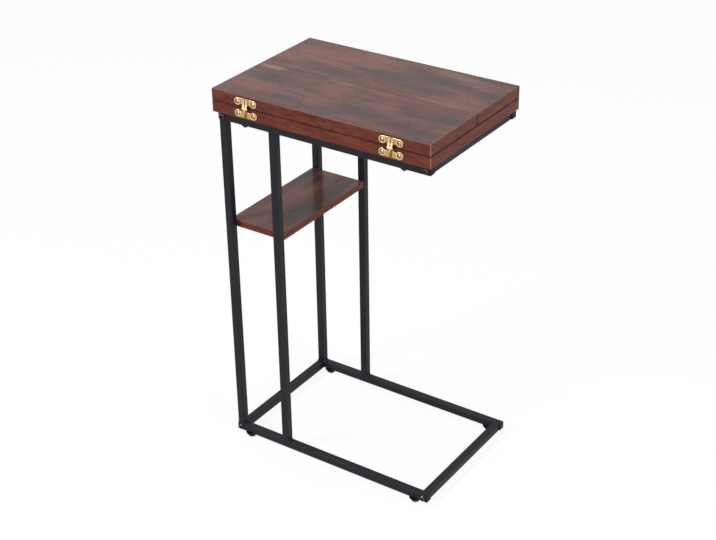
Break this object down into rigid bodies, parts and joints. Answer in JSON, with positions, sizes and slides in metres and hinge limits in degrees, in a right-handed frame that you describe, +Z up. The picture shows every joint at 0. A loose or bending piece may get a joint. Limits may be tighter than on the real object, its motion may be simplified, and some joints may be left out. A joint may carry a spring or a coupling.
{
  "type": "end table",
  "caption": "Narrow C-shaped end table of black square tube with a small side shelf and a thick rustic top whose hinged leaves fold outwards on brass hinges.",
  "frame": {"origin": "on the floor, under the middle of the closed top", "axes": "+Z up, +X along the top towards the open side of the C, +Y towards the back"},
  "size_m": [0.4, 0.274, 0.65],
  "materials": {
    "powder_coat": "satin black powder coat with a faint orange peel",
    "black_plastic": "moulded, satin",
    "plain_steel": "plain machined steel, hidden inside the tubes",
    "black_bolt": "black oxide, slightly glossy",
    "black_screw": "black zinc",
    "rustic_top": "satin printed laminate, weathered rustic oak with red-brown and blue-grey streaks along the length",
    "rustic_board": "satin laminate, red-brown rustic grain",
    "rustic_shelf": "satin laminate, weathered rustic oak",
    "cast_brass": "cast, tumbled and lacquered, pale gold",
    "brass_pin": "drawn wire, peened ends",
    "brass_screw": "turned, polished"
  },
  "bodies": {
    "base": {"front_base_rail": "powder_coat", "rear_base_rail": "powder_coat", "front_top_rail": "powder_coat", "rear_top_rail": "powder_coat", "front_outer_upright": "powder_coat", "front_inner_upright": "powder_coat", "rear_outer_upright": "powder_coat", "rear_inner_upright": "powder_coat", "left_base_cross_rail": "powder_coat", "right_base_cross_rail": "powder_coat", "left_top_cross_rail": "powder_coat", "right_top_cross_rail": "powder_coat", "rail_end_caps": "black_plastic", "front_left_foot": "black_plastic", "front_right_foot": "black_plastic", "rear_left_foot": "black_plastic", "rear_right_foot": "black_plastic", "threaded_blocks": "plain_steel", "frame_bolts": "black_bolt", "board_fixing_screws": "black_screw", "shelf_screws": "black_screw", "lower_board": "rustic_board", "shelf": "rustic_shelf", "front_left_hinge_board_plate": "cast_brass", "front_right_hinge_board_plate": "cast_brass", "rear_left_hinge_board_plate": "cast_brass", "rear_right_hinge_board_plate": "cast_brass", "front_left_hinge_pin": "brass_pin", "front_right_hinge_pin": "brass_pin", "rear_left_hinge_pin": "brass_pin", "rear_right_hinge_pin": "brass_pin", "board_hinge_screws": "brass_screw"},
    "front_leaf": {"front_leaf": "rustic_top", "front_left_hinge_leaf_plate": "cast_brass", "front_right_hinge_leaf_plate": "cast_brass", "front_leaf_hinge_screws": "brass_screw"},
    "rear_leaf": {"rear_leaf": "rustic_top", "rear_left_hinge_leaf_plate": "cast_brass", "rear_right_hinge_leaf_plate": "cast_brass", "rear_leaf_hinge_screws": "brass_screw"}
  },
  "joints": [
    {"name": "front_leaf_fold", "type": "hinge", "parent": "base", "child": "front_leaf", "pos_m": [0, -0.1344, 0.6306], "axis": [1, 0, 0], "range_deg": [0, 180]},
    {"name": "rear_leaf_fold", "type": "hinge", "parent": "base", "child": "rear_leaf", "pos_m": [0, 0.1344, 0.6306], "axis": [-1, 0, 0], "range_deg": [0, 180]}
  ]
}
